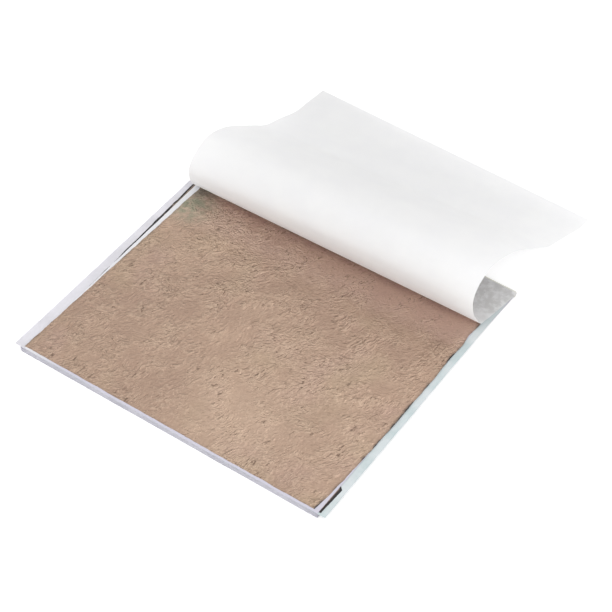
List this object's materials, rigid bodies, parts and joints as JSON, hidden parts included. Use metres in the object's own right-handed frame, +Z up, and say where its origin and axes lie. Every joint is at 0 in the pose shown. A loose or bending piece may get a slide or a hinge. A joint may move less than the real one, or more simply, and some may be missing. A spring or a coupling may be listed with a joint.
{
  "type": "gold leaf booklet",
  "caption": "square booklet of loose metal leaves between tissue pages glued along one edge, lying open with its top page curled back",
  "frame": {"origin": "on the plane the booklet lies on, under the middle of the top leaf", "axes": "+X to the right along the front edge, +Y towards the glued edge and the curled page, +Z up"},
  "size_m": [0.1512, 0.201, 0.0338],
  "materials": {
    "tissue": "smooth uncoated white tissue paper",
    "metal_leaf": "finely wrinkled warm gold leaf with a soft sheen",
    "glue": "dried padding glue, satin, milky"
  },
  "bodies": {
    "bottom_page_and_glue": {"page_26": "tissue", "spine_glue": "glue"},
    "page_25": {"page_25": "tissue"},
    "page_24": {"page_24": "tissue"},
    "page_23": {"page_23": "tissue"},
    "page_22": {"page_22": "tissue"},
    "page_21": {"page_21": "tissue"},
    "page_20": {"page_20": "tissue"},
    "page_19": {"page_19": "tissue"},
    "page_18": {"page_18": "tissue"},
    "page_17": {"page_17": "tissue"},
    "page_16": {"page_16": "tissue"},
    "page_15": {"page_15": "tissue"},
    "page_14": {"page_14": "tissue"},
    "page_13": {"page_13": "tissue"},
    "page_12": {"page_12": "tissue"},
    "page_11": {"page_11": "tissue"},
    "page_10": {"page_10": "tissue"},
    "page_09": {"page_09": "tissue"},
    "page_08": {"page_08": "tissue"},
    "page_07": {"page_07": "tissue"},
    "page_06": {"page_06": "tissue"},
    "page_05": {"page_05": "tissue"},
    "page_04": {"page_04": "tissue"},
    "page_03": {"page_03": "tissue"},
    "page_02": {"page_02": "tissue"},
    "leaf_01": {"leaf_01": "metal_leaf"},
    "leaf_02": {"leaf_02": "metal_leaf"},
    "leaf_03": {"leaf_03": "metal_leaf"},
    "leaf_04": {"leaf_04": "metal_leaf"},
    "leaf_05": {"leaf_05": "metal_leaf"},
    "leaf_06": {"leaf_06": "metal_leaf"},
    "leaf_07": {"leaf_07": "metal_leaf"},
    "leaf_08": {"leaf_08": "metal_leaf"},
    "leaf_09": {"leaf_09": "metal_leaf"},
    "leaf_10": {"leaf_10": "metal_leaf"},
    "leaf_11": {"leaf_11": "metal_leaf"},
    "leaf_12": {"leaf_12": "metal_leaf"},
    "leaf_13": {"leaf_13": "metal_leaf"},
    "leaf_14": {"leaf_14": "metal_leaf"},
    "leaf_15": {"leaf_15": "metal_leaf"},
    "leaf_16": {"leaf_16": "metal_leaf"},
    "leaf_17": {"leaf_17": "metal_leaf"},
    "leaf_18": {"leaf_18": "metal_leaf"},
    "leaf_19": {"leaf_19": "metal_leaf"},
    "leaf_20": {"leaf_20": "metal_leaf"},
    "leaf_21": {"leaf_21": "metal_leaf"},
    "leaf_22": {"leaf_22": "metal_leaf"},
    "leaf_23": {"leaf_23": "metal_leaf"},
    "leaf_24": {"leaf_24": "metal_leaf"},
    "leaf_25": {"leaf_25": "metal_leaf"},
    "page_01_bound_margin": {"page_01_bound_margin": "tissue"},
    "page_01_panel_1": {"page_01_panel_1": "tissue"},
    "page_01_panel_2": {"page_01_panel_2": "tissue"},
    "page_01_panel_3": {"page_01_panel_3": "tissue"},
    "page_01_panel_4": {"page_01_panel_4": "tissue"},
    "page_01_panel_5": {"page_01_panel_5": "tissue"},
    "page_01_panel_6": {"page_01_panel_6": "tissue"},
    "page_01_panel_7": {"page_01_panel_7": "tissue"},
    "page_01_panel_8": {"page_01_panel_8": "tissue"}
  },
  "joints": [
    {"name": "page_25_lift", "type": "hinge", "parent": "bottom_page_and_glue", "child": "page_25", "pos_m": [0, 0.071, 0.00302], "axis": [-1, 0, 0], "range_deg": [0, 0.68]},
    {"name": "page_24_lift", "type": "hinge", "parent": "page_25", "child": "page_24", "pos_m": [0, 0.071, 0.00302], "axis": [-1, 0, 0], "range_deg": [0, 0.68]},
    {"name": "page_23_lift", "type": "hinge", "parent": "page_24", "child": "page_23", "pos_m": [0, 0.071, 0.00302], "axis": [-1, 0, 0], "range_deg": [0, 0.68]},
    {"name": "page_22_lift", "type": "hinge", "parent": "page_23", "child": "page_22", "pos_m": [0, 0.071, 0.00302], "axis": [-1, 0, 0], "range_deg": [0, 0.68]},
    {"name": "page_21_lift", "type": "hinge", "parent": "page_22", "child": "page_21", "pos_m": [0, 0.071, 0.00302], "axis": [-1, 0, 0], "range_deg": [0, 0.68]},
    {"name": "page_20_lift", "type": "hinge", "parent": "page_21", "child": "page_20", "pos_m": [0, 0.071, 0.00302], "axis": [-1, 0, 0], "range_deg": [0, 0.68]},
    {"name": "page_19_lift", "type": "hinge", "parent": "page_20", "child": "page_19", "pos_m": [0, 0.071, 0.00302], "axis": [-1, 0, 0], "range_deg": [0, 0.68]},
    {"name": "page_18_lift", "type": "hinge", "parent": "page_19", "child": "page_18", "pos_m": [0, 0.071, 0.00302], "axis": [-1, 0, 0], "range_deg": [0, 0.68]},
    {"name": "page_17_lift", "type": "hinge", "parent": "page_18", "child": "page_17", "pos_m": [0, 0.071, 0.00302], "axis": [-1, 0, 0], "range_deg": [0, 0.68]},
    {"name": "page_16_lift", "type": "hinge", "parent": "page_17", "child": "page_16", "pos_m": [0, 0.071, 0.00302], "axis": [-1, 0, 0], "range_deg": [0, 0.68]},
    {"name": "page_15_lift", "type": "hinge", "parent": "page_16", "child": "page_15", "pos_m": [0, 0.071, 0.00302], "axis": [-1, 0, 0], "range_deg": [0, 0.68]},
    {"name": "page_14_lift", "type": "hinge", "parent": "page_15", "child": "page_14", "pos_m": [0, 0.071, 0.00302], "axis": [-1, 0, 0], "range_deg": [0, 0.68]},
    {"name": "page_13_lift", "type": "hinge", "parent": "page_14", "child": "page_13", "pos_m": [0, 0.071, 0.00302], "axis": [-1, 0, 0], "range_deg": [0, 0.68]},
    {"name": "page_12_lift", "type": "hinge", "parent": "page_13", "child": "page_12", "pos_m": [0, 0.071, 0.00302], "axis": [-1, 0, 0], "range_deg": [0, 0.68]},
    {"name": "page_11_lift", "type": "hinge", "parent": "page_12", "child": "page_11", "pos_m": [0, 0.071, 0.00302], "axis": [-1, 0, 0], "range_deg": [0, 0.68]},
    {"name": "page_10_lift", "type": "hinge", "parent": "page_11", "child": "page_10", "pos_m": [0, 0.071, 0.00302], "axis": [-1, 0, 0], "range_deg": [0, 0.68]},
    {"name": "page_09_lift", "type": "hinge", "parent": "page_10", "child": "page_09", "pos_m": [0, 0.071, 0.00302], "axis": [-1, 0, 0], "range_deg": [0, 0.68]},
    {"name": "page_08_lift", "type": "hinge", "parent": "page_09", "child": "page_08", "pos_m": [0, 0.071, 0.00302], "axis": [-1, 0, 0], "range_deg": [0, 0.68]},
    {"name": "page_07_lift", "type": "hinge", "parent": "page_08", "child": "page_07", "pos_m": [0, 0.071, 0.00302], "axis": [-1, 0, 0], "range_deg": [0, 0.68]},
    {"name": "page_06_lift", "type": "hinge", "parent": "page_07", "child": "page_06", "pos_m": [0, 0.071, 0.00302], "axis": [-1, 0, 0], "range_deg": [0, 0.68]},
    {"name": "page_05_lift", "type": "hinge", "parent": "page_06", "child": "page_05", "pos_m": [0, 0.071, 0.00302], "axis": [-1, 0, 0], "range_deg": [0, 0.68]},
    {"name": "page_04_lift", "type": "hinge", "parent": "page_05", "child": "page_04", "pos_m": [0, 0.071, 0.00302], "axis": [-1, 0, 0], "range_deg": [0, 0.68]},
    {"name": "page_03_lift", "type": "hinge", "parent": "page_04", "child": "page_03", "pos_m": [0, 0.071, 0.00302], "axis": [-1, 0, 0], "range_deg": [0, 0.68]},
    {"name": "page_02_lift", "type": "hinge", "parent": "page_03", "child": "page_02", "pos_m": [0, 0.071, 0.00302], "axis": [-1, 0, 0], "range_deg": [0, 0.68]},
    {"name": "leaf_01_draw_out", "type": "slide", "parent": "page_02", "child": "leaf_01", "axis": [0, -1, 0], "range_m": [0, 0.15]},
    {"name": "leaf_02_draw_out", "type": "slide", "parent": "page_03", "child": "leaf_02", "axis": [0, -1, 0], "range_m": [0, 0.15]},
    {"name": "leaf_03_draw_out", "type": "slide", "parent": "page_04", "child": "leaf_03", "axis": [0, -1, 0], "range_m": [0, 0.15]},
    {"name": "leaf_04_draw_out", "type": "slide", "parent": "page_05", "child": "leaf_04", "axis": [0, -1, 0], "range_m": [0, 0.15]},
    {"name": "leaf_05_draw_out", "type": "slide", "parent": "page_06", "child": "leaf_05", "axis": [0, -1, 0], "range_m": [0, 0.15]},
    {"name": "leaf_06_draw_out", "type": "slide", "parent": "page_07", "child": "leaf_06", "axis": [0, -1, 0], "range_m": [0, 0.15]},
    {"name": "leaf_07_draw_out", "type": "slide", "parent": "page_08", "child": "leaf_07", "axis": [0, -1, 0], "range_m": [0, 0.15]},
    {"name": "leaf_08_draw_out", "type": "slide", "parent": "page_09", "child": "leaf_08", "axis": [0, -1, 0], "range_m": [0, 0.15]},
    {"name": "leaf_09_draw_out", "type": "slide", "parent": "page_10", "child": "leaf_09", "axis": [0, -1, 0], "range_m": [0, 0.15]},
    {"name": "leaf_10_draw_out", "type": "slide", "parent": "page_11", "child": "leaf_10", "axis": [0, -1, 0], "range_m": [0, 0.15]},
    {"name": "leaf_11_draw_out", "type": "slide", "parent": "page_12", "child": "leaf_11", "axis": [0, -1, 0], "range_m": [0, 0.15]},
    {"name": "leaf_12_draw_out", "type": "slide", "parent": "page_13", "child": "leaf_12", "axis": [0, -1, 0], "range_m": [0, 0.15]},
    {"name": "leaf_13_draw_out", "type": "slide", "parent": "page_14", "child": "leaf_13", "axis": [0, -1, 0], "range_m": [0, 0.15]},
    {"name": "leaf_14_draw_out", "type": "slide", "parent": "page_15", "child": "leaf_14", "axis": [0, -1, 0], "range_m": [0, 0.15]},
    {"name": "leaf_15_draw_out", "type": "slide", "parent": "page_16", "child": "leaf_15", "axis": [0, -1, 0], "range_m": [0, 0.15]},
    {"name": "leaf_16_draw_out", "type": "slide", "parent": "page_17", "child": "leaf_16", "axis": [0, -1, 0], "range_m": [0, 0.15]},
    {"name": "leaf_17_draw_out", "type": "slide", "parent": "page_18", "child": "leaf_17", "axis": [0, -1, 0], "range_m": [0, 0.15]},
    {"name": "leaf_18_draw_out", "type": "slide", "parent": "page_19", "child": "leaf_18", "axis": [0, -1, 0], "range_m": [0, 0.15]},
    {"name": "leaf_19_draw_out", "type": "slide", "parent": "page_20", "child": "leaf_19", "axis": [0, -1, 0], "range_m": [0, 0.15]},
    {"name": "leaf_20_draw_out", "type": "slide", "parent": "page_21", "child": "leaf_20", "axis": [0, -1, 0], "range_m": [0, 0.15]},
    {"name": "leaf_21_draw_out", "type": "slide", "parent": "page_22", "child": "leaf_21", "axis": [0, -1, 0], "range_m": [0, 0.15]},
    {"name": "leaf_22_draw_out", "type": "slide", "parent": "page_23", "child": "leaf_22", "axis": [0, -1, 0], "range_m": [0, 0.15]},
    {"name": "leaf_23_draw_out", "type": "slide", "parent": "page_24", "child": "leaf_23", "axis": [0, -1, 0], "range_m": [0, 0.15]},
    {"name": "leaf_24_draw_out", "type": "slide", "parent": "page_25", "child": "leaf_24", "axis": [0, -1, 0], "range_m": [0, 0.15]},
    {"name": "leaf_25_draw_out", "type": "slide", "parent": "bottom_page_and_glue", "child": "leaf_25", "axis": [0, -1, 0], "range_m": [0, 0.15]},
    {"name": "page_01_lift", "type": "hinge", "parent": "page_02", "child": "page_01_bound_margin", "pos_m": [0, 0.071, 0.00302], "axis": [-1, 0, 0], "range_deg": [0, 16]},
    {"name": "page_01_turn", "type": "hinge", "parent": "page_01_bound_margin", "child": "page_01_panel_1", "pos_m": [-0.0022, 0.04558, 0.00302], "axis": [-0.9997, -0.0243, 0], "range_deg": [-57.4, 0]},
    {"name": "page_01_fold_2", "type": "hinge", "parent": "page_01_panel_1", "child": "page_01_panel_2", "pos_m": [-0.00233, 0.03973, 0.01217], "axis": [-0.999, 0.0046, -0.0451], "range_deg": [-28.7, 0]},
    {"name": "page_01_fold_3", "type": "hinge", "parent": "page_01_panel_2", "child": "page_01_panel_3", "pos_m": [-0.00249, 0.03904, 0.02208], "axis": [-0.998, 0.0059, -0.0632], "range_deg": [-58.9, 0]},
    {"name": "page_01_fold_4", "type": "hinge", "parent": "page_01_panel_3", "child": "page_01_panel_4", "pos_m": [-0.00227, 0.0499, 0.02972], "axis": [-0.9983, 0.015, -0.0569], "range_deg": [-47.2, 0]},
    {"name": "page_01_fold_5", "type": "hinge", "parent": "page_01_panel_4", "child": "page_01_panel_5", "pos_m": [-0.00134, 0.06439, 0.02664], "axis": [-0.9986, -0.0156, -0.0503], "range_deg": [-19.9, 0]},
    {"name": "page_01_fold_6", "type": "hinge", "parent": "page_01_panel_5", "child": "page_01_panel_6", "pos_m": [-0.00023, 0.07602, 0.01949], "axis": [-0.9986, -0.0182, -0.0487], "range_deg": [-38, 0]},
    {"name": "page_01_fold_7", "type": "hinge", "parent": "page_01_panel_6", "child": "page_01_panel_7", "pos_m": [0.0012, 0.09099, 0.01018], "axis": [-0.9986, -0.0156, -0.0503], "range_deg": [0, 15.9]},
    {"name": "page_01_fold_8", "type": "hinge", "parent": "page_01_panel_7", "child": "page_01_panel_8", "pos_m": [0.00271, 0.11278, 0.00394], "axis": [-0.9983, -0.0368, -0.0441], "range_deg": [0, 14]}
  ],
  "couplings": [
    {"joint": "page_24_lift", "follows": "page_25_lift", "ratio": 1},
    {"joint": "page_23_lift", "follows": "page_25_lift", "ratio": 1},
    {"joint": "page_22_lift", "follows": "page_25_lift", "ratio": 1},
    {"joint": "page_21_lift", "follows": "page_25_lift", "ratio": 1},
    {"joint": "page_20_lift", "follows": "page_25_lift", "ratio": 1},
    {"joint": "page_19_lift", "follows": "page_25_lift", "ratio": 1},
    {"joint": "page_18_lift", "follows": "page_25_lift", "ratio": 1},
    {"joint": "page_17_lift", "follows": "page_25_lift", "ratio": 1},
    {"joint": "page_16_lift", "follows": "page_25_lift", "ratio": 1},
    {"joint": "page_15_lift", "follows": "page_25_lift", "ratio": 1},
    {"joint": "page_14_lift", "follows": "page_25_lift", "ratio": 1},
    {"joint": "page_13_lift", "follows": "page_25_lift", "ratio": 1},
    {"joint": "page_12_lift", "follows": "page_25_lift", "ratio": 1},
    {"joint": "page_11_lift", "follows": "page_25_lift", "ratio": 1},
    {"joint": "page_10_lift", "follows": "page_25_lift", "ratio": 1},
    {"joint": "page_09_lift", "follows": "page_25_lift", "ratio": 1},
    {"joint": "page_08_lift", "follows": "page_25_lift", "ratio": 1},
    {"joint": "page_07_lift", "follows": "page_25_lift", "ratio": 1},
    {"joint": "page_06_lift", "follows": "page_25_lift", "ratio": 1},
    {"joint": "page_05_lift", "follows": "page_25_lift", "ratio": 1},
    {"joint": "page_04_lift", "follows": "page_25_lift", "ratio": 1},
    {"joint": "page_03_lift", "follows": "page_25_lift", "ratio": 1},
    {"joint": "page_02_lift", "follows": "page_25_lift", "ratio": 1},
    {"joint": "page_01_lift", "follows": "page_25_lift", "ratio": 23.529},
    {"joint": "page_01_fold_2", "follows": "page_01_turn", "ratio": 0.5},
    {"joint": "page_01_fold_3", "follows": "page_01_turn", "ratio": 1.0261},
    {"joint": "page_01_fold_4", "follows": "page_01_turn", "ratio": 0.8223},
    {"joint": "page_01_fold_5", "follows": "page_01_turn", "ratio": 0.34669},
    {"joint": "page_01_fold_6", "follows": "page_25_lift", "ratio": -55.882},
    {"joint": "page_01_fold_7", "follows": "page_01_turn", "ratio": -0.277},
    {"joint": "page_01_fold_8", "follows": "page_01_turn", "ratio": -0.2439}
  ]
}
